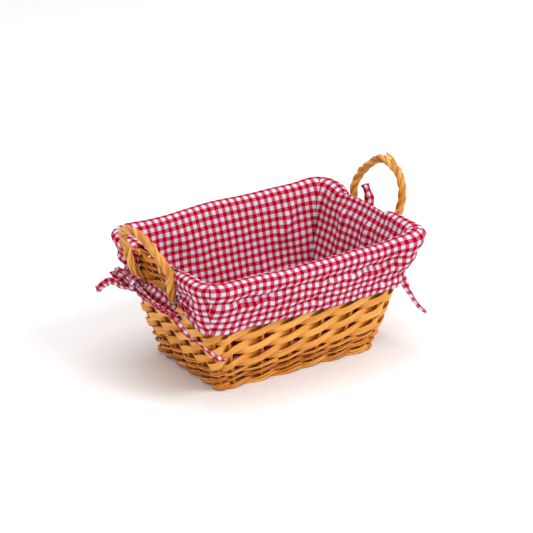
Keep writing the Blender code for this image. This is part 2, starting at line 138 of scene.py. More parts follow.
# The ties' routes from the cuff through the bow to the tail: along Y, out from the wall, and height.
TIE_WIDTH, TIE_THICKNESS = 0.0102, 0.0011
TIE_ROUTES = {
    "near_tie_front": (-1, [
        (-0.0420, 0.0085, 0.106), (-0.015, 0.0105, 0.111), (0.015, 0.0105, 0.112), (0.034, 0.0115, 0.109),
        (0.036, 0.0150, 0.107), (0.020, 0.0190, 0.107), (-0.020, 0.0220, 0.103), (-0.046, 0.0215, 0.101),
        (-0.053, 0.0185, 0.099), (-0.044, 0.0155, 0.098), (-0.010, 0.0145, 0.100), (0.018, 0.0145, 0.101),
        (0.026, 0.0155, 0.100), (0.016, 0.0165, 0.098), (-0.020, 0.0165, 0.096), (-0.044, 0.0165, 0.098),
        (-0.062, 0.0190, 0.094), (-0.074, 0.0150, 0.080), (-0.089, 0.0060, 0.064), (-0.095, -0.0060, 0.051),
    ]),
    "near_tie_back": (-1, [
        (0.0545, 0.0086, 0.101), (0.051, 0.0092, 0.1015), (0.047, 0.0100, 0.102), (0.0415, 0.0120, 0.103),
        (0.042, 0.0155, 0.105), (0.050, 0.0195, 0.111), (0.060, 0.0245, 0.116), (0.067, 0.0270, 0.114),
        (0.068, 0.0245, 0.109), (0.059, 0.0205, 0.105), (0.050, 0.0170, 0.100), (0.046, 0.0160, 0.096),
        (0.050, 0.0195, 0.096), (0.060, 0.0245, 0.099), (0.075, 0.0300, 0.097), (0.089, 0.0335, 0.087),
        (0.099, 0.0350, 0.077),
    ]),
    "far_tie_back": (1, [
        (0.0638, 0.0080, 0.094), (0.048, 0.0086, 0.094), (0.030, 0.0095, 0.096), (0.0215, 0.0105, 0.104),
        (0.018, 0.0120, 0.122), (0.023, 0.0125, 0.140), (0.034, 0.0135, 0.153), (0.041, 0.0160, 0.156),
        (0.041, 0.0190, 0.151), (0.031, 0.0190, 0.136), (0.025, 0.0175, 0.114), (0.027, 0.0165, 0.096),
        (0.034, 0.0180, 0.086), (0.046, 0.0230, 0.076), (0.058, 0.0300, 0.066), (0.066, 0.0380, 0.056),
        (0.071, 0.0460, 0.048),
    ]),
    "far_tie_front": (1, [
        (-0.0387, 0.0080, 0.092), (-0.024, 0.0088, 0.093), (0.000, 0.0092, 0.095), (0.0125, 0.0110, 0.097),
        (0.0135, 0.0145, 0.098), (0.004, 0.0175, 0.100), (-0.020, 0.0215, 0.103), (-0.034, 0.0210, 0.102),
        (-0.038, 0.0175, 0.100), (-0.030, 0.0145, 0.097), (-0.012, 0.0135, 0.091), (0.004, 0.0140, 0.087),
        (0.009, 0.0170, 0.085), (0.000, 0.0205, 0.083), (-0.026, 0.0230, 0.086), (-0.048, 0.0220, 0.086),
        (-0.063, 0.0220, 0.079), (-0.076, 0.0260, 0.067), (-0.091, 0.0310, 0.057), (-0.105, 0.0360, 0.048),
    ]),
}
KNOTS = {"near_tie_front": (0.038, 0.0145, 0.1055), "far_tie_front": (0.017, 0.0125, 0.0970)}
KNOT_OUT, KNOT_UP = 0.0058, 0.0068
KNOT_WIDTH, KNOT_THICKNESS, KNOT_CROWN = 0.0095, 0.0016, 0.0012

AZIMUTH, ELEVATION, DISTANCE = math.radians(-33.13), math.radians(23.95), 3.6717
AIM = (0.0, 0.0, 0.070)
LENS, SENSOR, LENS_SHIFT = 214.69, 36.0, (-0.0030, 0.05066)
FLOOR_REACH = 6.0
# Each light's place, disk size and power. All face LIGHT_AIM.
LIGHT_AIM = (0, 0, 0.08)
LIGHTS = {
    "key": ((0.9, -1.3, 1.7), 1.2, 26),
    "fill": ((-1.6, -1.0, 1.0), 1.6, 5),
    "top": ((0.0, 0.3, 2.0), 1.4, 14),
}


# -------- the wall's surface


def surface(height):
    """Half length, half width, corner radius and the two bows at this height."""
    return [float(np.interp(height, HEIGHTS, values))
            for values in (HALF_LENGTHS, HALF_WIDTHS, CORNER_RADII, LONG_BOWS, SHORT_BOWS)]


def settled(point):
    """The near half bellies out below the rim, so its points move towards -X, most at the end."""
    extra = float(np.interp(point[2], NEAR_HEIGHTS, NEAR_EXTRA))
    point[0] -= extra * (max(0.0, -point[0]) / surface(point[2])[0]) ** 2
    return point


def side_point(side, along, height, offset):
    """A point on a straight side, numbered anticlockwise from the front, at along from -1 to 1."""
    half_length, half_width, _, long_bow, short_bow = surface(height)
    if side % 2 == 0:
        half, far, bow = half_length, half_width, long_bow
    else:
        half, far, bow = half_width, half_length, short_bow
    out = far + bow * max(0.0, 1 - (along / BOW_REACH) ** 2) + offset
    point = Vector((along * half, -out, height)) if side % 2 == 0 else Vector((out, along * half, height))
    if side >= 2:
        point.x, point.y = -point.x, -point.y
    return point


def corner_point(corner, turn, height, offset):
    """A point on the arc after the side of the same number, at turn from 0 to 1."""
    half_length, half_width, radius, _, _ = surface(height)
    signs = ((1, -1), (1, 1), (-1, 1), (-1, -1))[corner]
    angle = math.radians(90 * (corner - 1 + turn))
    reach = max(radius + offset, 0.002)
    inset = radius + offset - reach
    return Vector((signs[0] * (half_length - radius + inset) + reach * math.cos(angle),
                   signs[1] * (half_width - radius + inset) + reach * math.sin(angle), height))


def side_spots(side):
    return LONG_SPOTS if side % 2 == 0 else SHORT_SPOTS


def to_corner(side, share, height, offset):
    """A point between a side's last stake, at share 0, and the middle of the corner after it, at share 1."""
    half_length, half_width, radius, _, _ = surface(height)
    half = half_length if side % 2 == 0 else half_width
    last = side_spots(side)[-1]
    run = max(0.0, (1 - last) * half - radius)
    arc = radius * math.pi / 4
    gone = share * (run + arc)
    if gone < run:
        return side_point(side, last + gone / half, height, offset)
    return corner_point(side, (gone - run) / arc / 2, height, offset)


def ring_point(spot, height, offset):
    """A point on the ring of stakes. Whole spots are stakes, anticlockwise from the front's first one."""
    spot %= STAKES
    for side in range(4):
        spots = side_spots(side)
        if spot <= len(spots) - 1:
            return settled(side_point(side, float(np.interp(spot, range(len(spots)), spots)), height, offset))
        if spot <= len(spots):
            return settled(to_corner(side, spot - len(spots) + 1, height, offset))
        if spot < len(spots) + 1:
            point = to_corner((side + 1) % 4, len(spots) + 1 - spot, height, offset)
            flip = Vector((1, -1, 1)) if side % 2 == 0 else Vector((-1, 1, 1))
            return settled(point * flip)
        spot -= len(spots) + 1
    return None


def end_point(end, along, height, offset):
    """A point on the wall of one end, -1 near or 1 far, at along metres from its middle."""
    wall = side_point(1, along / surface(height)[1], height, offset)
    return settled(Vector((end * wall.x, along, height)))


# -------- materials


def new_material(name):
    made = bpy.data.materials.new(name)
    made.use_nodes = True
    return made, made.node_tree, made.node_tree.nodes["Principled BSDF"]


def add(tree, kind, settings=None, **links):
    """A node with its settings. Each link or value is given by its socket's name, or as i and its number."""
    made = tree.nodes.new(kind)
    for key, value in (settings or {}).items():
        setattr(made, key, value)
    for key, value in links.items():
        numbered = key[0] == "i" and key[1:].isdigit()
        socket = made.inputs[int(key[1:]) if numbered else key.replace("_", " ")]
        if isinstance(value, bpy.types.NodeSocket):
            tree.links.new(value, socket)
        else:
            socket.default_value = value
    return made


def math_node(tree, operation, a, b=0.0, clamp=False):
    return add(tree, "ShaderNodeMath", {"operation": operation, "use_clamp": clamp}, i0=a, i1=b).outputs[0]


def mix_colour(tree, factor, a, b):
    made = tree.nodes.new("ShaderNodeMix")
    made.data_type = "RGBA"
    for index, value in ((0, factor), (6, a), (7, b)):
        if isinstance(value, bpy.types.NodeSocket):
            tree.links.new(value, made.inputs[index])
        else:
            made.inputs[index].default_value = value
    return made.outputs[2]


def srgb(red, green, blue):
    def linear(value):
        value /= 255
        return value / 12.92 if value <= 0.04045 else ((value + 0.055) / 1.055) ** 2.4
    return (linear(red), linear(green), linear(blue), 1.0)


def scaled_uv(tree, along, across):
    uv = add(tree, "ShaderNodeUVMap", {"uv_map": "grain"}).outputs[0]
    return add(tree, "ShaderNodeMapping", Vector=uv, Scale=(along, across, 1.0)).outputs[0]


def wood(name, dark, middle, light, deep, roughness, coat):
    """Split or round willow: streaks along the fibre, slow patches, and painted shade, a darker colour mixed
    in towards the recesses.
    """
    made, tree, shader = new_material(name)
    fibres, patches = scaled_uv(tree, 45.0, 1500.0), scaled_uv(tree, 22.0, 160.0)
    fine = add(tree, "ShaderNodeTexNoise", Vector=fibres, Scale=1.0, Detail=5.0, Roughness=0.6).outputs[0]
    slow = add(tree, "ShaderNodeTexNoise", Vector=patches, Scale=1.0, Detail=3.0).outputs[0]
    tone = add(tree, "ShaderNodeAttribute", {"attribute_name": "tone"}).outputs[2]
    depth = add(tree, "ShaderNodeAttribute", {"attribute_name": "depth"}).outputs[2]
    fine_share, slow_share = math_node(tree, "MULTIPLY", fine, 0.45), math_node(tree, "MULTIPLY", slow, 0.55)
    blend = math_node(tree, "ADD", math_node(tree, "ADD", fine_share, slow_share), tone)
    shades = add(tree, "ShaderNodeValToRGB", Fac=blend)
    stops = shades.color_ramp
    stops.elements[0].position, stops.elements[0].color = 0.30, dark
    stops.elements[1].position, stops.elements[1].color = 0.72, light
    stops.elements.new(0.50).color = middle
    # Painted shade: the depth attribute mixes the colour towards deep, the dark of the recesses.
    colour = mix_colour(tree, math_node(tree, "MULTIPLY", depth, 1.0, True), shades.outputs[0], deep)
    tree.links.new(colour, shader.inputs["Base Color"])
    rough = math_node(tree, "ADD", math_node(tree, "MULTIPLY", fine, 0.25), roughness - 0.12)
    tree.links.new(rough, shader.inputs["Roughness"])
    shader.inputs["Specular IOR Level"].default_value = 0.35
    shader.inputs["Coat Weight"].default_value = coat
    shader.inputs["Coat Roughness"].default_value = 0.25
    bump = add(tree, "ShaderNodeBump", Strength=0.35, Distance=0.0004, Height=fine)
    tree.links.new(bump.outputs[0], shader.inputs["Normal"])
    return made


def gingham():
    """Cotton with red stripes both ways, its threads showing in the half-tone squares."""
    made, tree, shader = new_material("gingham")
    uv = add(tree, "ShaderNodeUVMap", {"uv_map": "cloth"}).outputs[0]
    parts = add(tree, "ShaderNodeSeparateXYZ", Vector=uv)
    stripes = []
    threads = []
    for axis in (0, 1):
        wave = math_node(tree, "FRACT", math_node(tree, "DIVIDE", parts.outputs[axis], GINGHAM_PERIODS[axis]))
        near = math_node(tree, "ABSOLUTE", math_node(tree, "SUBTRACT", wave, 0.5))
        steep = math_node(tree, "MULTIPLY", math_node(tree, "SUBTRACT", near, 0.25), 30.0)
        stripes.append(math_node(tree, "ADD", steep, 0.5, True))
        turns = math_node(tree, "MULTIPLY", parts.outputs[axis], 2 * math.pi / THREAD_PITCH)
        threads.append(math_node(tree, "SINE", turns))
    both = math_node(tree, "MULTIPLY", stripes[0], stripes[1])
    either = math_node(tree, "MAXIMUM", stripes[0], stripes[1])
    scaled = add(tree, "ShaderNodeMapping", Vector=uv, Scale=(260.0, 260.0, 1.0)).outputs[0]
    blot = add(tree, "ShaderNodeTexNoise", Vector=scaled, Scale=1.0, Detail=3.0).outputs[0]
    weave = math_node(tree, "MULTIPLY", threads[0], threads[1])
    half = mix_colour(tree, math_node(tree, "ADD", math_node(tree, "MULTIPLY", weave, 0.16), blot, True),
                      srgb(170, 54, 82), srgb(200, 106, 130))
    white = mix_colour(tree, blot, srgb(204, 202, 216), srgb(220, 218, 230))
    red = mix_colour(tree, blot, srgb(150, 0, 12), srgb(184, 0, 26))
    colour = mix_colour(tree, both, mix_colour(tree, either, white, half), red)
    tree.links.new(colour, shader.inputs["Base Color"])
    shader.inputs["Roughness"].default_value = 0.9
    shader.inputs["Specular IOR Level"].default_value = 0.0
    height = math_node(tree, "MAXIMUM", threads[0], threads[1])
    bump = add(tree, "ShaderNodeBump", Strength=0.25, Distance=0.0002, Height=height)
    tree.links.new(bump.outputs[0], shader.inputs["Normal"])
    return made


def plain(name, colour, roughness):
    made, _, shader = new_material(name)
    shader.inputs["Base Color"].default_value = colour
    shader.inputs["Roughness"].default_value = roughness
    return made


# Each deep colour is the painted shade that the depth attribute mixes in.
WILLOW = wood("willow", dark=srgb(160, 74, 4), middle=srgb(214, 130, 30), light=srgb(240, 168, 72),
              deep=srgb(112, 44, 2), roughness=0.42, coat=0.12)
CHIP = wood("chip", dark=srgb(208, 124, 34), middle=srgb(234, 160, 66), light=srgb(246, 186, 100),
            deep=srgb(160, 70, 4), roughness=0.5, coat=0.04)
HANDLE = wood("handle", dark=srgb(176, 92, 10), middle=srgb(222, 148, 50), light=srgb(242, 190, 102),
              deep=srgb(110, 44, 2), roughness=0.33, coat=0.35)
CUT_END = plain("cut_end", srgb(226, 180, 116), 0.7)
GINGHAM = gingham()


# -------- mesh helpers


def new_object(name, data):
    made = bpy.data.objects.new(name, data)
    bpy.context.scene.collection.objects.link(made)
    return made


class Swept:
    """Gathers swept strands into one mesh."""

    def __init__(self):
        self.points, self.faces, self.uvs, self.tones, self.depths, self.slots = [], [], [], [], [], []

    def add(self, centres, outs, ups, section, tone=0.0, depth=None, closed=False):
        """One strand: section holds each station's loop as (out, up) pairs round the centre line."""
        centres, outs, ups, section = (np.asarray(values, float) for values in (centres, outs, ups, section))
        count, around = section.shape[:2]
        points = centres[:, None] + outs[:, None] * section[..., :1] + ups[:, None] * section[..., 1:]
        first = len(self.points)
        self.points.extend(points.reshape(-1, 3).tolist())
        steps = np.linalg.norm(np.diff(centres, axis=0), axis=1)
        along = np.concatenate([[0.0], np.cumsum(steps)]) + RANDOM.uniform(0, 5)
        edge = np.linalg.norm(section - np.roll(section, 1, axis=1), axis=2)
        across = np.cumsum(edge, axis=1) - edge[:, :1]
        across = np.minimum(across, across[:, -1:] + edge[:, :1] - across) + RANDOM.uniform(0, 1)
        self.uvs.extend(np.stack([np.repeat(along[:, None], around, 1), across], -1).reshape(-1, 2).tolist())
        self.tones.extend([tone] * (count * around))
        # depth is each station's painted shade, 0 to 1, towards the material's deep colour.
        depth = np.zeros(count) if depth is None else np.asarray(depth)
        self.depths.extend(np.repeat(depth, around).tolist())
        for row in range(count if closed else count - 1):
            after = (row + 1) % count
            for k in range(around):
                nxt = (k + 1) % around
                self.faces.append((first + row * around + k, first + row * around + nxt,
                                   first + after * around + nxt, first + after * around + k))
                self.slots.append(0)
        if not closed:
            last = first + (count - 1) * around
            self.faces.append(tuple(first + k for k in reversed(range(around))))
            self.faces.append(tuple(last + k for k in range(around)))
            self.slots.extend((1, 1))

    def build(self, name, material, end_material=CUT_END, uv_name="grain"):
        """The smooth object, with one UV map and the strands' tones and painted shade amounts as the
        attributes tone and depth.
        """
        mesh = bpy.data.meshes.new(name)
        mesh.from_pydata(self.points, [], self.faces)
        corners = np.empty(len(mesh.loops), np.int32)
        mesh.loops.foreach_get("vertex_index", corners)
        uvs = np.asarray(self.uvs, np.float32)[corners]
        mesh.uv_layers.new(name=uv_name).data.foreach_set("uv", uvs.reshape(-1))
        for key, numbers in (("tone", self.tones), ("depth", self.depths)):
            values = mesh.attributes.new(key, "FLOAT", "POINT").data
            values.foreach_set("value", np.asarray(numbers, np.float32))
        mesh.materials.append(material)
        mesh.materials.append(end_material)
        mesh.polygons.foreach_set("material_index", self.slots)
        mesh.shade_smooth()
        mesh.set_sharp_from_angle(angle=math.radians(50))
        return new_object(name, mesh)


def smooth_path(points, steps):
    """Points along the Catmull-Rom curve through the given ones."""
    points = [np.asarray(point, float) for point in points]
    padded = [2 * points[0] - points[1], *points, 2 * points[-1] - points[-2]]
    found = []
    for a, b, c, d in zip(padded, padded[1:], padded[2:], padded[3:]):
        for step in range(steps):
            t = step / steps
            found.append((2 * b + (c - a) * t + (2 * a - 5 * b + 4 * c - d) * t**2
                          + (3 * b - a - 3 * c + d) * t**3) / 2)
    return np.array([*found, points[-1]])


def evenly(path, count):
    lengths = np.concatenate([[0.0], np.cumsum(np.linalg.norm(np.diff(path, axis=0), axis=1))])
    at = np.linspace(0, lengths[-1], count)
    return np.stack([np.interp(at, lengths, path[:, axis]) for axis in range(3)], 1), lengths[-1]


def unit(vectors):
    return vectors / np.maximum(np.linalg.norm(vectors, axis=-1, keepdims=True), 1e-12)


def wobble(count, size, step, closed=False):
    """Slow random numbers along a strand, about +-size, with a bend every step stations."""
    knots = max(4, int(count / step))
    values = RANDOM.normal(0, size, knots)
    if closed:
        values = np.append(values, values[0])
    at = np.linspace(0, len(values) - 1, count)
    low = np.floor(at).astype(int).clip(0, len(values) - 2)
    t = at - low
    t = t * t * (3 - 2 * t)
    return values[low] * (1 - t) + values[low + 1] * t


def frames_of(centres, hint, closed=False):
    """Unit outward and upward directions square to a line. The outward one leans towards hint."""
    if closed:
        tangents = unit(np.roll(centres, -1, 0) - np.roll(centres, 1, 0))
    else:
        tangents = unit(np.gradient(centres, axis=0))
    outs = unit(hint - tangents * (hint * tangents).sum(1, keepdims=True))
    return outs, np.cross(tangents, outs)


def wall_normals(spots, height):
    """Outward directions square to the slanting wall at these places round it."""
    found = []
    for spot in spots:
        here = ring_point(spot, height, 0.0)
        around = ring_point(spot + 0.02, height, 0.0) - ring_point(spot - 0.02, height, 0.0)
        up = ring_point(spot, height + 0.004, 0.0) - here
        found.append(around.cross(up).normalized())
    return np.array(found)


def twined_line(row, reach, rise, starts_outside, spots):
    """A strand's centre line over these spots, and how deep behind the stakes it runs, 0 to 1, which is used
    as its painted shade.
    """
    sign = 1 if starts_outside else -1
    outs = sign * reach * np.cos(np.pi * spots)
    lifts = sign * rise * np.sin(np.pi * spots)
    points = [ring_point(spot, row + lift, out) for spot, out, lift in zip(spots, outs, lifts)]
    return np.array(points), ramp(-outs / reach, -0.15, 0.95)


def ramp(values, start, end):
    """0 before start, 1 after end, and smooth between them."""
    t = np.clip((np.asarray(values, float) - start) / (end - start), 0, 1)
    return t * t * (3 - 2 * t)


def round_section(count, radius, sides, flat=1.0):
    angles = np.linspace(0, 2 * np.pi, sides, endpoint=False)
    radius = np.broadcast_to(np.asarray(radius), (count,))
    return np.stack([radius[:, None] * np.cos(angles) * flat, radius[:, None] * np.sin(angles)], -1)


def stand_for(made, nodes):
    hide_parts(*nodes)
    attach(made, "root")


# -------- wicker


def round_strand(name, row, reach, rise, radius, starts_outside, breaks, node):
    """A row's strand as a chain of thin rods laid in pairs, each with cut ends laid past a stake."""
    swept = Swept()
    for start, end in zip(breaks, [*breaks[1:], breaks[0] + STAKES]):
        spots = np.arange(start - 0.15, end + ROD_OVERLAP, 1 / 9)
        count = len(spots)
        line, depth = twined_line(row, reach, rise, starts_outside, spots)
        normals = wall_normals(spots, row)
        tail = np.clip((spots - (end - 0.5)) / (0.5 + ROD_OVERLAP), 0, 1)[:, None]
        head = np.clip(1 - (spots - start + 0.15) / 0.6, 0, 1)[:, None]
        line = line + normals * (tail**2 * radius * 1.3 - head * radius * 1.1)
        for place in (-1, 1):
            rod = line + normals * wobble(count, 0.0004, 8)[:, None]
            rod[:, 2] += place * radius * PAIR_SPREAD + wobble(count, 0.0005, 8)
            size = radius * RANDOM.uniform(0.56, 0.70) * (1 + wobble(count, 0.06, 6))
            size *= 1 - 0.25 * head[:, 0]
            rod[:, 2] = np.maximum(rod[:, 2], size)
            outs, ups = frames_of(rod, normals)
            tone = RANDOM.uniform(-0.12, 0.10)
            # Painted shade: half of the rod's depth behind the stakes.
            swept.add(rod, outs, ups, round_section(count, size, 9), tone, depth * 0.5)
    stand_for(swept.build(name, WILLOW), [node])


def make_round_rows():
    thin_reach = STAKE_RADIUS + THIN_RADIUS - 0.0003
    thick_reach = STAKE_RADIUS + THICK_RADIUS - 0.0006
    rows = [(f"{name}_{number}", row, thin_reach, THIN_RISE, THIN_RADIUS)
            for name, places in (("lower_wale", LOWER_ROWS), ("upper_wale", UPPER_ROWS))
            for number, row in enumerate(places, 1)]
    rows += [("foot_rod_", FOOT_ROW, thick_reach, FOOT_RISE, THICK_RADIUS),
             ("border_rod_", BORDER_ROW, thick_reach, BORDER_RISE, THICK_RADIUS)]
    for name, row, reach, rise, radius in rows:
        for letter, outside in (("a", True), ("b", False)):
            shift = RANDOM.integers(0, 3) * 2 + (0 if outside else 1)
            breaks = [shift + 2 * step for step in (0, 3, 6, 9)]
            node = f"{name}{letter}"
            round_strand(f"{node}_willow", row, reach, rise, radius, outside, breaks, node)


def make_stakes():
    count = 30
    for stake in range(STAKES):
        heights = np.linspace(STAKE_FOOT, STAKE_TOP, count)
        line = np.array([ring_point(stake, height, 0.0) for height in heights])
        line[:, :2] += np.stack([wobble(count, 0.0002, 6), wobble(count, 0.0002, 6)], 1)
        hint = wall_normals([stake], 0.08).repeat(count, 0)
        outs, ups = frames_of(line, hint)
        swept = Swept()
        section = round_section(count, STAKE_RADIUS * (1 + wobble(count, 0.03, 5)), 10)
        # Every stake carries a painted shade of 0.25 towards the deep colour.
        swept.add(line, outs, ups, section, RANDOM.uniform(-0.1, 0.06), np.full(count, 0.25))
        node = f"stake_{stake + 1:02d}"
        stand_for(swept.build(f"{node}_willow", WILLOW), [node])


def chip_section(widths, thickness, crown):
    """A flat strip's loop at each station, crowned on its outer face."""
    across = np.array([-0.5, -0.49, -0.34, -0.12, 0.12, 0.34, 0.49, 0.5])
    half = np.full(8, thickness / 2)
    half[[0, -1]] *= 0.4
    rise = np.broadcast_to(crown * (1 - (2 * across) ** 2), (len(widths), 8))
    outs = np.concatenate([half + rise, (rise - half)[:, ::-1]], 1)[:, ::-1]
    sides = np.concatenate([across, across[::-1]])[::-1] * widths[:, None]
    return np.stack([outs, sides], -1)


def make_chips():
    reach = STAKE_RADIUS + CHIP_THICKNESS / 2 + CHIP_SLACK
    for number, row in enumerate(CHIP_ROWS, 1):
        for letter, outside in (("a", True), ("b", False)):
            spots = np.arange(0, STAKES, 1 / 12)
            line, depth = twined_line(row, reach, CHIP_RISE, outside, spots)
            normals = wall_normals(spots, row)
            outs, ups = frames_of(line, normals, closed=True)
            count = len(spots)
            widths = CHIP_WIDTH * (1 + wobble(count, 0.025, 8, True))
            swept = Swept()
            # Painted shade: the chip's depth behind the stakes, scaled by 0.55.
            swept.add(line, outs, ups, chip_section(widths, CHIP_THICKNESS, 0.00016),
                      RANDOM.uniform(-0.08, 0.08), depth * 0.55, closed=True)
            stand_for(swept.build(f"chip_{number}{letter}_wood", CHIP), [f"chip_{number}{letter}"])


def handle_point(handle, along, height, out=0.0):
    """A place on a handle's leaning plane, out metres in front of it."""
    drift = max(0.0, height - HANDLE_REST) / (handle["top"] - HANDLE_REST)
    rest = end_point(handle["end"], 0.0, min(height, HANDLE_REST), HANDLE_OFFSET).x
    x = rest + handle["end"] * (handle["lean"] * drift + out)
    return (x, handle["middle"] + handle["sway"] * drift + along, height)


def handle_line(handle):
    """The rope's centre line, from the weave under the border up over the arch and down again."""
    rise = handle["top"] - HANDLE_SHOULDER
    arch = [(HANDLE_HALF_SPAN * math.cos(angle), HANDLE_SHOULDER + rise * math.sin(angle), 0.0)
            for angle in np.linspace(0, math.pi, 9)]
    outline = [*HANDLE_LEG, *arch, *[(-along, height, out) for along, height, out in reversed(HANDLE_LEG)]]
    return np.array([handle_point(handle, -along, height, out) for along, height, out in outline])


def make_handle(name):
    """Three bundles of three split rods twisted into a rope that slackens towards its feet."""
    handle = HANDLES[name]
    stations = 260
    path, length = evenly(smooth_path(handle_line(handle), 16), stations)
    path = path + np.stack([wobble(stations, 0.0007, 24) for _ in range(3)], 1)
    facing = np.array([float(handle["end"]), 0.0, 0.0])
    outs, ups = frames_of(path, np.repeat([facing], stations, 0))
    share = np.linspace(0, 1, stations)
    slack = np.clip(np.minimum(share, 1 - share) / 0.14, 0.12, 1)
    turning = np.cumsum(slack) * length / stations / HANDLE_PITCH * 2 * np.pi + 0.8
    swept = Swept()
    # The rope's core is painted nearly in the deep colour: painted shade between the bundles.
    swept.add(path, outs, ups, round_section(stations, 0.0018, 8), -0.2, np.full(stations, 0.9))
    for bundle in range(3):
        angle = turning + 2 * np.pi * bundle / 3 + wobble(stations, 0.12, 20)
        away = HANDLE_BUNDLE_REACH * (1 + wobble(stations, 0.07, 16))
        for rod in range(3):
            around = turning * 0.6 + 2 * np.pi * rod / 3 + bundle + wobble(stations, 0.20, 18)
            rod_outs = np.cos(angle) * away + np.cos(around) * HANDLE_ROD_REACH
            rod_ups = np.sin(angle) * away + np.sin(around) * HANDLE_ROD_REACH
            line = path + outs * rod_outs[:, None] + ups * rod_ups[:, None]
            spoke = unit(outs * rod_outs[:, None] + ups * rod_ups[:, None])
            side_outs, side_ups = frames_of(line, spoke)
            size = HANDLE_ROD_RADIUS * (1 + wobble(stations, 0.08, 16))
            # The rods carry a faint painted shade of 0.05.
            swept.add(line, side_outs, side_ups, round_section(stations, size, 9, 0.85),
                      RANDOM.uniform(-0.12, 0.10), np.full(stations, 0.05))
    count = 30
    for places in LOOSE_RODS[name]:
        line, _ = evenly(smooth_path([handle_point(handle, *place) for place in places], 10), count)
        side_outs, side_ups = frames_of(line, np.repeat([facing], count, 0))
        section = round_section(count, HANDLE_ROD_RADIUS * (1 + wobble(count, 0.06, 8)), 9, 0.6)
        swept.add(line, side_outs, side_ups, section, RANDOM.uniform(-0.05, 0.10))
    stand_for(swept.build(f"{name}_handle_willow", HANDLE), [f"{name}_handle_a", f"{name}_handle_b"])


# -------- base


def make_base():
    upward = np.array([[0.0, 0.0, 1.0]])
    count = 30
    for number, y in enumerate(BASE_STICKS, 1):
        xs = BASE_MIDDLE + np.linspace(-BASE_HALF_LENGTH, BASE_HALF_LENGTH, count)
        line = np.stack([xs, y + wobble(count, 0.0004, 6), np.full(count, BASE_HEIGHT)], 1)
        outs, ups = frames_of(line, upward.repeat(count, 0))
        section = round_section(count, BASE_STICK_RADIUS, 10)
        swept = Swept()
        # Painted shade: each base stick carries 0.3 towards the deep colour.
        swept.add(line, outs, ups, section, RANDOM.uniform(-0.08, 0.04), np.full(count, 0.3))
        stand_for(swept.build(f"base_stick_{number}_willow", WILLOW), [f"base_stick_{number}"])
    count = 64
    ys = np.linspace(-BASE_HALF_WIDTH, BASE_HALF_WIDTH, count)
    wave = BASE_RISE * np.cos(np.pi * (ys - BASE_STICKS[0]) / (BASE_STICKS[1] - BASE_STICKS[0]))
    swept = Swept()
    for number, x in enumerate(BASE_MIDDLE + np.arange(-BASE_WEAVE_REACH, BASE_WEAVE_REACH, BASE_PITCH)):
        lifts = wave if number % 2 else -wave
        line = np.stack([x + wobble(count, 0.0003, 12), ys, BASE_HEIGHT + lifts], 1)
        outs, ups = frames_of(line, upward.repeat(count, 0))
        section = round_section(count, BASE_WEAVER_RADIUS * (1 + wobble(count, 0.06, 12)), 8, 0.8)
        # Painted shade: each weaver carries 0.25 towards the deep colour.
        swept.add(line, outs, ups, section, RANDOM.uniform(-0.10, 0.08), np.full(count, 0.25))
    stand_for(swept.build("base_weaver_willow", WILLOW), ["base_weaver"])


# -------- liner


def cloth_rows():
    """Distance from the crest, height and offset at each row, from the foot of the bag's wall to the hem."""
    inner = [(FLOOR_HEIGHT, -0.0120), (0.040, -0.0100), (0.100, -0.0098), (0.128, -0.0092)]
    roll = [(ROLL_HEIGHT + ROLL_RADIUS * math.sin(angle), ROLL_OFFSET + ROLL_RADIUS * math.cos(angle))
            for angle in np.linspace(math.pi, 0, 9)]
    cuff = [(0.131, 0.0117), (0.121, 0.0110), (0.106, 0.0106), (0.094, 0.0096), (0.084, 0.0084)]
    path = smooth_path([(height, offset, 0.0) for height, offset in [*inner, *roll, *cuff]], 12)
    lengths = np.concatenate([[0.0], np.cumsum(np.linalg.norm(np.diff(path, axis=0), axis=1))])
    crest = lengths[np.argmax(path[:, 0])]
    hem = lengths[-1] - crest
    stations = np.concatenate([np.arange(-crest, -0.020, 0.0032), np.arange(-0.018, hem - 0.0062, 0.0017),
                               hem - np.array([0.0060, 0.0054, 0.0049, 0.0043, 0.0030, 0.0015, 0.0])])
    heights, offsets = (np.interp(stations + crest, lengths, path[:, axis]) for axis in (0, 1))
    return stations, heights, offsets


def cloth_column(side, q, heights, offsets):
    """A column's points and distances from its panel's middle. q is -1 to 1 on the straight, 2 at a seam."""
    half_length, half_width, radius, long_bow, short_bow = (
        np.interp(heights, HEIGHTS, values)
        for values in (HALF_LENGTHS, HALF_WIDTHS, CORNER_RADII, LONG_BOWS, SHORT_BOWS))
    if side % 2 == 0:
        half, far, bow = half_length, half_width, long_bow
    else:
        half, far, bow = half_width, half_length, short_bow
    flat = min(abs(q), 1.0)
    turn = (abs(q) - flat) * math.pi / 4
    square = np.where(offsets < 0, 0.28 + 0.72 * ramp(heights, 0.100, 0.128), 1.0)
    reach = np.maximum((radius + offsets) * square, 0.002)
    inset = radius + offsets - reach
    straight = half - radius + inset
    along = flat * straight + reach * math.sin(turn)
    out = far - radius + inset + reach * math.cos(turn) + bow * (1 - flat**2) ** 2
    along = math.copysign(1, q) * along
    x, y = ((along, -out), (out, along), (-along, out), (-out, -along))[side]
    extra = np.interp(heights, NEAR_HEIGHTS, NEAR_EXTRA)
    x = x - extra * (np.maximum(0.0, -x) / half_length) ** 2
    return np.stack([x, y, heights], 1), math.copysign(1, q) * (flat * straight + reach * turn)


def bell(values, middle, width):
    return np.exp(-((np.asarray(values, float) - middle) / width) ** 2)


def ripple(points, stations, scale, up_scale, shear=0.0, seed=0.0):
    """Smooth noise over the cloth, about -1 to 1. shear slants it against the cuff's fall."""
    return np.array([1.6 * noise.noise(Vector((x * scale + v * shear, y * scale + seed, v * up_scale + seed)))
                     for (x, y, _), v in zip(points, stations)])


def gap_of(side):
    """The middle, along the panel, of the cuff's gap for a handle."""
    if side == 1:
        return HANDLES["far"]["middle"]
    return -HANDLES["near"]["middle"] if side == 3 else None


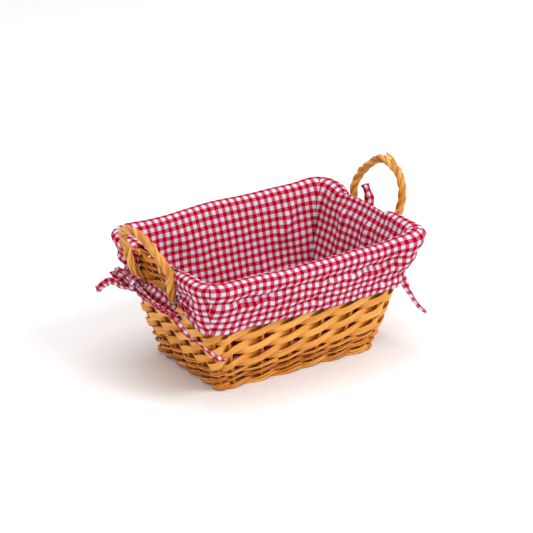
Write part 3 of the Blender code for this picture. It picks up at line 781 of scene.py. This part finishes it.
def draped(side, q, stations, heights, offsets, hem):
    """The rows' heights and offsets in this column after the cloth's bulges, creases and folds."""
    points, across = cloth_column(side, q, heights, offsets)
    rest = np.argmin(abs(stations))
    seam = cloth_column(side, 2.0, heights, offsets)[1][rest] - abs(across[rest])
    corner = side if q > 0 else (side - 1) % 4
    outer = ramp(stations, -0.012, 0.012)
    cuff = ramp(stations, 0.008, 0.022)
    inner = 1 - ramp(stations, -0.030, -0.012)
    fall = 1 - 0.95 * ramp(stations, 0.012, 0.050)
    gap = gap_of(side)
    past = 1.0 if gap is None else abs(across[rest] - gap) - GAP_HALF_WIDTH
    calm = float(ramp(past, 0.0, 0.050)) * (1 - 0.6 * float(bell(seam, 0, 0.022)))
    crest = bell(stations, 0, 0.020)
    level = stations * 0
    push = CORNER_BULGES[corner] * bell(seam, 0, 0.026) * outer * fall
    if side == 1:
        raised = 1 - 0.8 * bell(across[rest], 0.068, 0.014)
    else:
        raised = bell(seam, 0, 0.030) * (corner in (0, 1))
    lift = FAR_SIDE_LIFT * raised * crest + 0.0010 * crest * ripple(points, level, 22, 1, seed=1.5)
    # The cuff's crease wanders, with a fuller fold under it and a weaker crease below.
    fold = CREASE_DOWN + 0.0036 * ripple(points, level, 20, 1, seed=4.0)
    deep = CREASE_DEPTH * (1 + 0.5 * ripple(points, level, 30, 1, seed=9.0)) * (0.25 + 0.75 * calm)
    push -= deep * bell(stations, fold, CREASE_WIDTH) * cuff
    push += 0.0016 * bell(stations, fold + 0.0105, 0.0060)
    low = LOW_CREASE_DOWN + 0.0050 * ripple(points, level, 17, 1, seed=6.0)
    deep = LOW_CREASE_DEPTH * (0.6 + ripple(points, level, 26, 1, seed=2.0))
    push -= deep * bell(stations, low, LOW_CREASE_WIDTH)
    push += cuff * calm * (0.0017 * ripple(points, stations, 17, 115, 14, 3.0)
                           + 0.0012 * ripple(points, stations, 32, 165, -24, 1.0)
                           + 0.0009 * ripple(points, stations, 85, 130, -70))
    push += 0.0008 * ripple(points, level, 150, 1, seed=8.0) * ramp(stations, hem - 0.024, hem)
    # The seams draw in a little, and the hem is turned up and stitched.
    stitches = hem - HEM_TURN
    push -= OUTER_SEAM * bell(seam, 0, 0.0013) * outer + INNER_SEAM * bell(seam, 0, 0.0016) * inner
    push += HEM_THICKENING * ramp(stations, stitches, stitches + 0.0008)
    push -= 0.0005 * bell(stations, stitches, 0.0006)
    # The bag's walls hang in soft folds, with deeper ones at the far end and at the back beside it.
    push -= inner * (0.0010 + 0.0022 * ripple(points, stations, 20, 14, 9, 5.0)
                     + 0.0009 * ripple(points, stations, 55, 30, 25, 7.0))
    if side == 1:
        for middle, depth in ((0.030, 0.0026), (-0.014, 0.0034)):
            leaning = middle + 0.10 * (heights - 0.09)
            push -= depth * bell(across, leaning, 0.0060) * inner * ramp(heights, 0.03, 0.07)
    if side == 2:
        slant = (across + 0.078) * 0.80 + (heights - 0.108) * 0.60
        cross = (heights - 0.108) * 0.80 - (across + 0.078) * 0.60
        push -= 0.0042 * bell(slant, 0, 0.0055) * bell(cross, 0, 0.0200) * inner
    lift, push = gathered(side, across[rest], stations, lift, push, hem)
    least = np.where(heights + lift > 0.128, BORDER_LEAST, OUTER_LEAST)
    # Beside a handle the roll lies flat, and its edge is turned in over the border.
    if gap is not None:
        beside = 1 - float(ramp(past, 0.0, 0.014))
        turned = 1 - float(ramp(past, -0.0005, 0.0030))
        push -= (0.0030 * beside + 0.0090 * turned * ramp(stations, 0.030, 0.018)) * outer
        lift -= (0.0025 * beside + 0.0020 * turned) * crest
        least = least * (1 - 0.9 * turned)
    heights = heights + lift
    offsets = offsets + push
    offsets = np.where(stations > 0.014, np.maximum(offsets, least), offsets)
    return heights, np.where(stations < -0.014, np.minimum(offsets, INNER_MOST), offsets)


def gathered(side, across, stations, lift, push, hem):
    """The cuff beside a handle, drawn up towards its tie in folds that fan out from it."""
    middle = gap_of(side)
    if middle is None:
        return lift, push
    past = abs(across - middle) - GAP_HALF_WIDTH
    if past < 0:
        return lift * (side == 1), push * (stations < -0.012)
    near = 1 - float(ramp(past, 0.0, 0.046))
    lift = lift + GATHER_LIFT * near * ramp(stations, 0.026, hem)
    angle = np.arctan2(stations - GATHER_DOWN, past + 0.004)
    distance = np.hypot(past + 0.004, stations - GATHER_DOWN)
    rays = np.sin(11 * angle + 0.6) * np.clip(distance / 0.008, 0, 1) * np.exp(-distance / 0.034)
    push = push + GATHER_FOLDS * rays * ramp(stations, 0.006, 0.020)
    return lift, push - 0.0016 * near * ramp(stations, 0.010, 0.030)


def cloth_spot(across, station):
    """A place on the cloth. The cuff's rows wave where it is gathered."""
    amount = float(ramp(station, 0.010, 0.030)) + 0.3 * float(ramp(station, -0.012, -0.030))
    wave = noise.noise(Vector((across * 55 + station * 30, station * 40, 2.0)))
    small = noise.noise(Vector((across * 120, station * 60 + 9, 5.0)))
    return (across + amount * 0.0008 * small, station + amount * (0.0026 * wave + 0.0012 * small))


def flap_pull(side, across, stations):
    """How far the cuff is drawn along the panel towards its tie, by row."""
    middle = gap_of(side)
    if middle is None or abs(across - middle) < GAP_HALF_WIDTH:
        return stations * 0
    past = abs(across - middle) - GAP_HALF_WIDTH
    toward = math.copysign(1, middle - across)
    near = 1 - float(ramp(past, 0.0, 0.040))
    close = 1 - float(ramp(past, 0.0, 0.022))
    roll = ramp(stations, -0.016, -0.008) * (1 - ramp(stations, 0.006, 0.024))
    return toward * (CUFF_PULL * near**1.5 * ramp(stations, 0.006, 0.024) + ROLL_PULL * close * roll)


def panel_columns(side):
    """The q of each column of one panel, seam to seam, with one on each edge of its gap."""
    half = (HALF_LENGTHS, HALF_WIDTHS)[side % 2][-1] - CORNER_RADII[-1]
    steps = round(2 * half / COLUMN_STEP)
    arc = list(np.linspace(1, 2, 11))
    straight = list(np.linspace(-1, 1, steps + 1))
    if gap_of(side) is not None:
        edges = [(gap_of(side) + sign * GAP_HALF_WIDTH) / half for sign in (-1, 1)]
        for edge in edges:
            straight[int(np.argmin([abs(q - edge) for q in straight]))] = edge
        straight.sort()
    return [*[-q for q in reversed(arc)], *straight[1:-1], *arc]


def make_liner():
    """The bag of four panels and a floor, folded over the border as a cuff with gaps for the handles."""
    stations, heights, offsets = cloth_rows()
    hem = stations[-1]
    shrink = np.linspace(0.96, 0.06, 13)
    rows = len(shrink) + len(stations)
    points, faces, uvs = [], [], []
    for side in range(4):
        columns = panel_columns(side)
        first = len(points) // rows
        across_all = []
        for q in columns:
            column, _ = cloth_column(side, q, *draped(side, q, stations, heights, offsets, hem))
            _, across = cloth_column(side, q, heights, offsets)
            pull = flap_pull(side, across[np.argmin(abs(stations))], stations)
            column[:, 1] += pull * (-1 if side == 3 else 1)
            across = across + pull
            across_all.append(across)
            if q == columns[-1]:
                continue
            foot = column[0]
            spine = np.array([float(np.clip(foot[0], -0.036, 0.036)), 0.0, foot[2]])
            points.extend(foot * (1 - share) + spine * share for share in shrink)
            points.extend(column)
        for index in range(len(columns) - 1):
            inside_gap = False
            if gap_of(side) is not None:
                half = HALF_WIDTHS[-1] - CORNER_RADII[-1]
                centre = (columns[index] + columns[index + 1]) / 2 * half
                inside_gap = abs(centre - gap_of(side)) < GAP_HALF_WIDTH
            for row in range(rows - 1):
                wall = row - len(shrink)
                if inside_gap and wall >= 0 and stations[wall + 1] > GAP_EDGES[side]:
                    break
                here, there = (first + index) * rows, (first + index + 1) * rows
                faces.append((here + row, there + row, there + row + 1, here + row + 1))
                if wall < 0:
                    uvs.append(None)
                else:
                    spots = [(index, wall), (index + 1, wall), (index + 1, wall + 1), (index, wall + 1)]
                    uvs.append([cloth_spot(across_all[column][at], stations[at]) for column, at in spots])
    total = len(points)
    faces = [tuple(corner % total for corner in face) for face in faces]
    faces.append(tuple(reversed(range(0, total, rows))))
    uvs.append(None)
    flat_uvs = []
    for face, uv in zip(faces, uvs):
        flat_uvs.extend(reversed(uv or [points[corner][:2] for corner in face]))
    mesh = bpy.data.meshes.new("liner_cloth")
    mesh.from_pydata([tuple(point) for point in points], [], [tuple(reversed(face)) for face in faces])
    mesh.uv_layers.new(name="cloth").data.foreach_set("uv", np.array(flat_uvs, np.float32).reshape(-1))
    mesh.materials.append(GINGHAM)
    mesh.shade_smooth()
    remove_loose_points(mesh)
    made = new_object("liner_cloth", mesh)
    shell = made.modifiers.new("Thickness", "SOLIDIFY")
    shell.thickness = CLOTH_THICKNESS
    shell.offset = 1.0
    stand_for(made, ["liner"])


def remove_loose_points(mesh):
    shape = bmesh.new()
    shape.from_mesh(mesh)
    bmesh.ops.delete(shape, geom=[vertex for vertex in shape.verts if not vertex.link_faces], context="VERTS")
    shape.to_mesh(mesh)
    shape.free()


def folded_section(widths, thickness, folds):
    """A strip's loop at each station, folded up along its middle by an angle on each side."""
    across = np.array([-1.0, -0.75, -0.45, -0.15, 0.15, 0.45, 0.75, 1.0])
    turned = folds[:, None] * np.clip(abs(across) / 0.4, 0, 1)
    reach = abs(across) * widths[:, None] / 2
    sides, outs = np.sign(across) * reach * np.cos(turned), reach * np.sin(turned)
    normal_outs, normal_sides = np.cos(turned), -np.sign(across) * np.sin(turned)
    half = thickness / 2
    loop = [np.concatenate([centre + half * normal, (centre - half * normal)[:, ::-1]], 1)[:, ::-1]
            for centre, normal in ((outs, normal_outs), (sides, normal_sides))]
    return np.stack(loop, -1)


def make_tie(name, end, route):
    """A narrow strip sewn double, from the cuff's edge through the bow to a loose tail."""
    spots = [end_point(end, along, height, out) for along, out, height in route]
    path, length = evenly(smooth_path(spots, 14), 230)
    count = len(path)
    path = path + np.stack([wobble(count, 0.0009, 12) for _ in range(3)], 1)
    tangents = unit(np.gradient(path, axis=0))
    across = np.array([0.0, 0.0, 1.0])
    wides = []
    for tangent in tangents:
        across = unit(across - tangent * across.dot(tangent))
        wides.append(across)
    wides = np.array(wides)
    outs = np.cross(wides, tangents)
    roll = wobble(count, 0.50, 20)
    outs, wides = (outs * np.cos(roll)[:, None] + wides * np.sin(roll)[:, None],
                   wides * np.cos(roll)[:, None] - outs * np.sin(roll)[:, None])
    widths = TIE_WIDTH * (1 + wobble(count, 0.08, 16))
    knot = KNOTS.get(name) or KNOTS[name.replace("back", "front")]
    centre = np.array(end_point(end, knot[0], knot[2], knot[1]))
    widths *= 1 - 0.35 * np.exp(-(np.linalg.norm(path - centre, axis=1) / 0.009) ** 2)
    widths *= 1 - 0.65 * ramp(np.linspace(0, length, count), length - 0.010, length)
    swept = Swept()
    folds = np.clip(0.45 + wobble(count, 0.45, 11), 0.05, 1.20)
    swept.add(path, outs, wides, folded_section(widths, TIE_THICKNESS, folds))
    total = length
    if name in KNOTS:
        total += add_knot(swept, centre, end)
    made = swept.build(f"{name}_cloth", GINGHAM, GINGHAM, "cloth")
    stand_for(made, [name])


def add_knot(swept, centre, end):
    """The strip's turn round the middle of the bow."""
    count = 40
    angle = np.linspace(0, 2 * np.pi, count, endpoint=False)
    radial = np.stack([np.cos(angle) * end, np.zeros(count), np.sin(angle)], 1)
    path = centre + radial * (KNOT_OUT, 0.0, KNOT_UP) * (1 + wobble(count, 0.10, 5, True))[:, None]
    wides = np.repeat([[0.0, 1.0, 0.0]], count, 0)
    widths = KNOT_WIDTH * (1 + wobble(count, 0.12, 6, True))
    swept.add(path, unit(radial), wides, chip_section(widths, KNOT_THICKNESS, KNOT_CROWN), closed=True)
    return float(np.linalg.norm(np.diff(path, axis=0), axis=1).sum())


# -------- scene


def area_light(name, spot, size, power):
    data = bpy.data.lights.new(name, "AREA")
    data.shape = "DISK"
    data.size = size
    data.energy = power
    made = new_object(name, data)
    made.location = spot
    made.rotation_euler = (Vector(LIGHT_AIM) - Vector(spot)).to_track_quat("-Z", "Y").to_euler()


def make_stage():
    corners = [(x * FLOOR_REACH, y * FLOOR_REACH, 0) for x, y in ((-1, -1), (1, -1), (1, 1), (-1, 1))]
    mesh = bpy.data.meshes.new("floor")
    mesh.from_pydata(corners, [], [(0, 1, 2, 3)])
    mesh.materials.append(plain("pale_floor", (0.93, 0.93, 0.93, 1), 0.9))
    floor = new_object("floor", mesh)
    world = bpy.data.worlds.new("studio")
    world.use_nodes = True
    background = world.node_tree.nodes["Background"]
    background.inputs["Color"].default_value = (1, 1, 1, 1)
    background.inputs["Strength"].default_value = 0.70
    bpy.context.scene.world = world
    for name, (spot, size, power) in LIGHTS.items():
        area_light(name, spot, size, power)


def make_camera():
    data = bpy.data.cameras.new("camera")
    data.sensor_width = SENSOR
    data.lens = LENS
    data.shift_x, data.shift_y = LENS_SHIFT
    data.clip_end = 50
    made = new_object("camera", data)
    away = Vector((math.sin(AZIMUTH) * math.cos(ELEVATION), -math.cos(AZIMUTH) * math.cos(ELEVATION),
                   math.sin(ELEVATION)))
    made.location = Vector(AIM) + away * DISTANCE
    made.rotation_euler = (-away).to_track_quat("-Z", "Y").to_euler()
    bpy.context.scene.camera = made


make_camera()
make_stage()
bpy.context.scene.view_settings.view_transform = "Standard"
make_stakes()
make_round_rows()
make_chips()
make_base()
for handle_name in HANDLES:
    make_handle(handle_name)
make_liner()
for tie_name, (tie_end, tie_route) in TIE_ROUTES.items():
    make_tie(tie_name, tie_end, tie_route)
